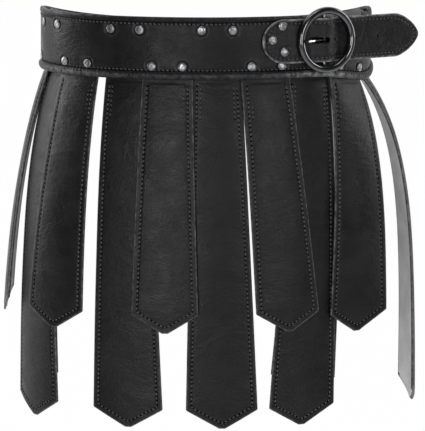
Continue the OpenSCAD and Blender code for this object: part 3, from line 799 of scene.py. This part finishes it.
def makeRing():
    # a torus whose wire is a little squared, and the centre bar with it
    around, turn = circle(192)[:, None], circle(40)
    inward, out = (buckle["wire"] * boxy(wave(turn), buckle["wirePower"]) for wave in (np.cos, np.sin))
    radius = buckle["ringRadius"] + inward
    loops = bucklePoint(radius * np.cos(around), buckle["ringOut"] + out, radius * np.sin(around))
    thing = addTube("buckleRing", loops, closedAlong=True)
    finishPiece(thing, ringMetal, "belt", ["buckle_ring"])
    z = np.linspace(-buckle["ringRadius"], buckle["ringRadius"], 12)[:, None]
    loops = bucklePoint(buckle["bar"] * np.cos(turn), buckle["barOut"] + buckle["bar"] * np.sin(turn), z)
    finishPiece(addTube("buckleBar", loops), ringMetal, "belt", ["buckle_ring"])


def roundTheBar(name, outline):
    # an outline of radii and heights, turned about the buckle's bar
    r, z = np.array(outline).T
    around = circle(40)[:, None]
    loops = bucklePoint(r * np.cos(around), buckle["barOut"] + r * np.sin(around), z)
    return addTube(name, loops, closedAlong=True)


def makeProng():
    # a rod that tapers to a blunt tip on the ring, and an eye that turns on the bar
    tipX = buckle["ringRadius"] - buckle["prongTip"]
    tipOut = buckle["ringOut"] + buckle["wire"] + buckle["prongClear"] + buckle["prong"] - buckle["barOut"]
    span, end = math.hypot(tipX, tipOut), buckle["prongEnd"]
    dx, dOut = -tipX / span, tipOut / span
    length = span + buckle["prongTip"] * 0.3
    reach = np.concatenate([[1.9], np.linspace(2.6, length - end, 30),
                            length - end + end * np.sin(np.linspace(0.2, 1, 6) * np.pi / 2)])[:, None]
    share = np.clip((reach - (length - end)) / end, 0, 1)
    radius = buckle["prong"] * (1 - buckle["prongTaper"] * reach / length)
    radius = radius * np.sqrt(np.maximum(1 - share ** 2, 0.02))
    turn = circle(24)
    across = radius * np.cos(turn)
    loops = bucklePoint(reach * dx + across * dOut, buckle["barOut"] + reach * dOut - across * dx,
                        radius * np.sin(turn))
    worn = np.clip(reach - buckle["wornFrom"], 0, 1) * np.clip(length - buckle["wornEnd"] - reach, 0, 1)
    rod = addTube("prongRod", loops, wear=worn + 0 * turn)
    finishPiece(rod, prongMetal, "prong", ["buckle_prong"])
    half, inner, outer = buckle["eyeHalf"], buckle["bar"] + 0.08, buckle["loop"] - 0.05
    eye = roundTheBar("prongEye", [
        (inner, -half + 0.2), (inner + 0.2, -half), (outer - 0.4, -half), (outer, -half + 0.45),
        (outer, half - 0.45), (outer - 0.4, half), (inner + 0.2, half), (inner, half - 0.2)])
    finishPiece(eye, prongMetal, "prong", ["buckle_prong"])


billetMiddle, billetFace = billet["backOut"] + billet["thick"] / 2, billet["backOut"] + billet["thick"]
billetRivets = [(buckle["station"] - back, z) for back, z in billet["rivetsBack"]]
billetStart = beltInBuckle(buckle["station"] - billet["back"], billetMiddle)[0]
billetEnd = billet["reach"] - billet["tip"]  # where its tip begins


def billetLine(x):
    # out of the strap's middle: along the belt, then level under the ring with a hump over the bar
    s = np.linspace(-billet["back"] - 2, 0, 200)
    along = np.interp(x, *beltInBuckle(buckle["station"] + s, billetMiddle))
    hump = np.cos(np.pi / 2 * np.clip(x / billet["riseReach"], -1, 1)) ** 2
    level = billet["under"] + (billet["over"] - billet["under"]) * hump
    leave = beltInBuckle(buckle["station"] - billet["joinBack"], billetMiddle)[0]
    share = np.clip((x - leave) / (billet["joinX"] - leave), 0, 1)
    return along * (1 - share) + level * share


def billetHalf(x):
    # half height of its outline: a half circle at the riveted end, (1 - k^1.54)^(1/1.54) at the tip
    half = billet["height"] / 2
    rounded = np.sqrt(np.clip(1 - (1 - (x - billetStart) / half) ** 2, 0, 1))
    k = np.clip((x - billetEnd) / billet["tip"], 0, 1)
    pointed = (1 - k ** 1.54) ** (1 / 1.54)
    return half * np.where(x < billetStart + half, rounded, pointed)


def billetSheet(x, z, high, isFront):
    # a swollen rim, a sunk seam, the hold of the thread, two slanting creases and the rivets' rings, pressed in
    # and painted dark as shade
    far = np.minimum(high - np.abs(z), np.minimum(x - billetStart, billet["reach"] - x))
    edge = 1 - np.clip(far / 1.5, 0, 1)
    height = billet["thick"] / 2 * (0.25 + 0.75 * np.sqrt(1 - edge ** 2))
    # pale edges all round: partly the lighter cut edge, partly a painted highlight on it
    wear = bell(far, 0, 1.3) * (1.0 if isFront else 0.3)
    if not isFront:
        return bucklePoint(x, billetLine(x) - height, z), wear, 0 * wear
    creases = sum(size * bell(x - slant * z, place, width) for size, place, width, slant in billet["creases"])
    rim, groove, held = (size * bell(far, place, width)
                         for size, place, width in (billet["rim"], billet["groove"], billet["held"]))
    wave = 0.12 * np.sin(x * 0.16 + z * 0.11)
    height = height + rim + groove + (held + wave + creases) * (far > 1)
    near = np.min([np.hypot(x - beltInBuckle(station, billetFace)[0], z - rivetZ)
                   for station, rivetZ in billetRivets], axis=0)
    # the pressed ring round each rivet is also returned as painted shade
    pressed = bell(near, rivets["radius"] + 0.5, 1.0)
    return bucklePoint(x, billetLine(x) + height - billet["pressed"] * pressed, z), wear, pressed


def punchedHoles():
    # closed cutters for the slot and the round holes, as two loops each
    slotEnds = [billet["slot"][0] + billet["slotHalf"], billet["slot"][1] - billet["slotHalf"]]
    around, cutters = circle(32), []
    for centres in [[hole] for hole in billet["holes"]] + [slotEnds]:
        if len(centres) == 1:
            depth = billetLine(centres[0]) + np.array(billet["holeDepth"])
            radius = billet["holeRadius"] + np.array(billet["holeSpread"])
        else:
            depth, radius = np.array(billet["slotDepth"]), np.full(2, billet["slotHalf"])
        x = np.where(np.cos(around) < 0, centres[0], centres[-1]) + radius[:, None] * np.cos(around)
        loops = bucklePoint(x, depth[:, None], radius[:, None] * np.sin(around))
        cutters.append(facesOutward(addTube(f"punch{len(cutters)}", loops)))
    return cutters


def makeBuckleStrap():
    # two sheets of one outline, close rows at its ends and edges, cut through at the slot and the holes
    half = billet["height"] / 2
    first, last = np.linspace(0.02, 1, 26) * np.pi / 2, np.linspace(0, 0.995, 34) * np.pi / 2
    x = np.concatenate([billetStart + half * (1 - np.cos(first)),
                        np.linspace(billetStart + half + 1.4, billetEnd - 1, 84),
                        billetEnd + billet["tip"] * np.sin(last)])
    high = np.maximum(billetHalf(x), 0.5)[:, None]
    x = x[:, None]
    edge = np.array([0.66, 0.73, 0.79, 0.86, 0.92, 0.96, 0.985, 1])
    across = np.concatenate([-edge[::-1], np.linspace(-0.55, 0.55, 13), edge])
    backAcross = np.concatenate([[1, 0.97, 0.9], np.linspace(0.7, -0.7, 7), [-0.9, -0.97, -1]])
    sheets = billetSheet(x, high * across, high, True), billetSheet(x, high * backAcross, high, False)
    loops, wear, sunk = (np.concatenate(pair, axis=1) for pair in zip(*sheets))
    thing = facesOutward(addTube("buckleStrap", loops, wear=wear, sunk=sunk))
    cutters = punchedHoles()
    for cutter in cutters:
        cut = thing.modifiers.new("cut", "BOOLEAN")
        cut.operation, cut.solver, cut.object = "DIFFERENCE", "EXACT", cutter
    bpy.context.view_layer.update()
    graph = bpy.context.evaluated_depsgraph_get()
    mesh = bpy.data.meshes.new_from_object(thing.evaluated_get(graph), preserve_all_data_layers=True,
                                           depsgraph=graph)
    thing.modifiers.clear()
    thing.data = mesh
    for cutter in cutters:
        bpy.data.objects.remove(cutter)
    finishPiece(thing, buckleStrapLeather, "belt", ["billet_strap"])


def makeBuckleStrapStitches():
    # one seam inside the edge, round both ends
    half, inset = billet["height"] / 2, billetSeam["inset"]
    turn = np.linspace(90, 270, 25) * degree
    radius = half - inset
    leftEnd = np.stack([billetStart + half + radius * np.cos(turn), radius * np.sin(turn)], -1)
    x = np.linspace(billetStart + half, billet["reach"] - inset - 0.4, 140)
    z = np.maximum(billetHalf(x + 0.15 * inset) - inset, 0)
    z = z * (1 - 0.10 * np.maximum(x - billetEnd, 0) / billet["tip"])
    line = np.concatenate([leftEnd, np.stack([x, -z], -1), np.stack([x, z], -1)[::-1]])
    starts, ends = alongLine(line, billetSeam["pitch"], billetSeam["length"])
    addSeam(("buckleStrapStitches", "buckleStrapHoles"), "belt", billetSeam,
            lambda x, z, out: bucklePoint(x, billetLine(x) + out, z),
            billet["thick"] / 2 - billetSeam["sunk"], starts, ends, (ends[:-1] + starts[1:]) / 2)


def makeChape():
    # folded leather round the bar: the doubled strip behind as a rounded slab, and two loops
    thick, half, inner = chape["thick"], chape["half"], chape["innerHalf"]
    middle = ringDrop(ringAngle(buckle["station"] + chape["middleAt"])) - buckle["rise"]
    x, out = beltInBuckle(buckle["station"] + np.linspace(0, chape["length"], 24), chape["offset"] + thick)
    x, out = x[x > chape["clear"], None], out[x > chape["clear"], None]
    turn = circle(48)
    loops = bucklePoint(x, out + thick * boxy(np.sin(turn), 0.5), half * boxy(np.cos(turn), 0.25) + middle)
    wear = np.broadcast_to(np.abs(np.cos(turn)) ** 20, loops.shape[:2])
    finishPiece(addTube("barStrip", loops, wear=wear), flapLeather, "belt", ["chape"])
    for name, z0, z1 in (("barLoopUpper", inner, half + middle), ("barLoopLower", middle - half, -inner)):
        loop = roundTheBar(name, [(2.0, z0 + 0.2), (2.2, z0), (3.0, z0), (3.2, z0 + 0.3), (3.2, z1 - 0.3),
                                  (3.0, z1), (2.2, z1), (2.0, z1 - 0.2)])
        finishPiece(loop, flapLeather, "belt", ["chape"])


makeRing()
makeProng()
makeBuckleStrap()
makeBuckleStrapStitches()
makeChape()
makeRivets("billetRivets", [(s, buckle["rise"] + z) for s, z in billetRivets], billetFace,
           billet["rivetReach"], "billet_rivets")
print("buckle made")

for nodeName in ("rivet_washers", "chape_rivets"):
    node = frame["nodes"][nodeName]
    node.data.materials.clear()
    node.data.materials.append(rivetMetal)


# Floor, light and camera

studio = dict(
    floorZ=-1000.0, floorSize=60000.0, paper=0.86, floorShown=0.99, worldLight=0.26, frontGlow=0.06,
    floorMirror=(1.2, 1.0), worldMirror=(-0.1, 4.0),  # shift and steepness of what a mirror sees
)
lamps = dict(  # place, target, size and watts
    keyLight=((-0.75, -2.7, 0.0), (0, 0, -0.2), (0.7, 1.1), 20),
    fillLight=((1.4, -2.4, 0.2), (0, 0, -0.2), (0.7, 1.3), 16),
    topLight=((0.0, -0.7, 2.0), (0, 0, 0), (1.8, 0.9), 12),
    leftLight=((-2.1, 0.45, 0.5), (-0.1, 0, -0.1), (0.7, 1.4), 22),
    rightLight=((2.1, 0.1, 0.5), (0.1, 0, -0.1), (0.7, 1.4), 14),
)
view = dict(
    place=(0.0065, -3.0, 0.326), target=(0.0065, 0.0, -0.180), sensor=36.0,
    width=0.425,  # metres seen at the belt's middle
)


def whiteShare(tree, direction, shift, steepness):
    # 1 for what is seen, and for what is mirrored (y + shift) times the steepness, held between 0 and 1
    rays = tree.nodes.new("ShaderNodeLightPath").outputs
    place = tree.nodes.new("ShaderNodeSeparateXYZ")
    tree.links.new(direction, place.inputs["Vector"])
    share = mathNode(tree, "MULTIPLY", mathNode(tree, "ADD", place.outputs["Y"], shift), steepness)
    share = mathNode(tree, "MINIMUM", mathNode(tree, "MAXIMUM", share, 0.0), 1.0)
    mirrored = mathNode(tree, "MULTIPLY", rays["Is Glossy Ray"], share)
    seen = mathNode(tree, "ADD", rays["Is Camera Ray"], rays["Is Transmission Ray"])
    return rays, mathNode(tree, "MINIMUM", mathNode(tree, "ADD", seen, mirrored), 1.0)


def makeFloor():
    # matt paper where light falls on it, even white where it is seen
    size, z = studio["floorSize"], studio["floorZ"]
    floor = addMesh("floor", [(-size, -size, z), (size, -size, z), (size, size, z), (-size, size, z)],
                    [(0, 1, 2, 3)])
    material, tree, shader, place = newMaterial("floorPaper")
    feed(tree, shader, {"Base Color": (studio["paper"],) * 3 + (1,), "Roughness": 0.9})
    glow = tree.nodes.new("ShaderNodeEmission")
    glow.inputs["Strength"].default_value = 1.0
    mix = tree.nodes.new("ShaderNodeMixShader")
    share = whiteShare(tree, place, *studio["floorMirror"])[1]
    tree.links.new(mathNode(tree, "MULTIPLY", share, studio["floorShown"]), mix.inputs["Fac"])
    tree.links.new(shader.outputs["BSDF"], mix.inputs[1])
    tree.links.new(glow.outputs["Emission"], mix.inputs[2])
    output = next(n for n in tree.nodes if n.type == "OUTPUT_MATERIAL")
    tree.links.new(mix.outputs["Shader"], output.inputs["Surface"])
    floor.data.materials.append(material)


def makeWorld():
    # the greatest of: white where seen, a weak even light on what is matt, a faint glow
    world = bpy.data.worlds.new("studio")
    bpy.context.scene.world = world
    world.use_nodes = True
    tree = world.node_tree
    background = tree.nodes["Background"]
    direction = tree.nodes.new("ShaderNodeTexCoord").outputs["Generated"]
    rays, seen = whiteShare(tree, direction, *studio["worldMirror"])
    lit = mathNode(tree, "MULTIPLY", rays["Is Diffuse Ray"], studio["worldLight"])
    lit = mathNode(tree, "MAXIMUM", lit, studio["frontGlow"])
    background.inputs["Color"].default_value = (1, 1, 1, 1)
    tree.links.new(mathNode(tree, "MAXIMUM", seen, lit), background.inputs["Strength"])


def aim(thing, place, target):
    # at the place, its -Z towards the target
    thing.location = place
    thing.rotation_euler = (Vector(target) - Vector(place)).to_track_quat("-Z", "Y").to_euler()
    bpy.context.scene.collection.objects.link(thing)


def addLamp(name, place, target, size, watts):
    # an even rectangle of light that faces its target
    data = bpy.data.lights.new(name, "AREA")
    data.shape, data.size, data.size_y, data.energy = "RECTANGLE", *size, watts
    aim(bpy.data.objects.new(name, data), place, target)


def makeCamera():
    # focal length = sensor times distance over the width seen there
    data = bpy.data.cameras.new("camera")
    camera = bpy.data.objects.new("camera", data)
    aim(camera, view["place"], view["target"])
    distance = math.dist(view["target"], view["place"])
    data.sensor_fit, data.sensor_width = "HORIZONTAL", view["sensor"]
    data.lens = view["sensor"] * distance / view["width"]
    data.clip_end = 200.0
    bpy.context.scene.camera = camera


makeFloor()
makeWorld()
for lampName, settings in lamps.items():
    addLamp(lampName, *settings)
makeCamera()
bpy.context.scene.view_settings.view_transform = "Standard"
print("studio made")
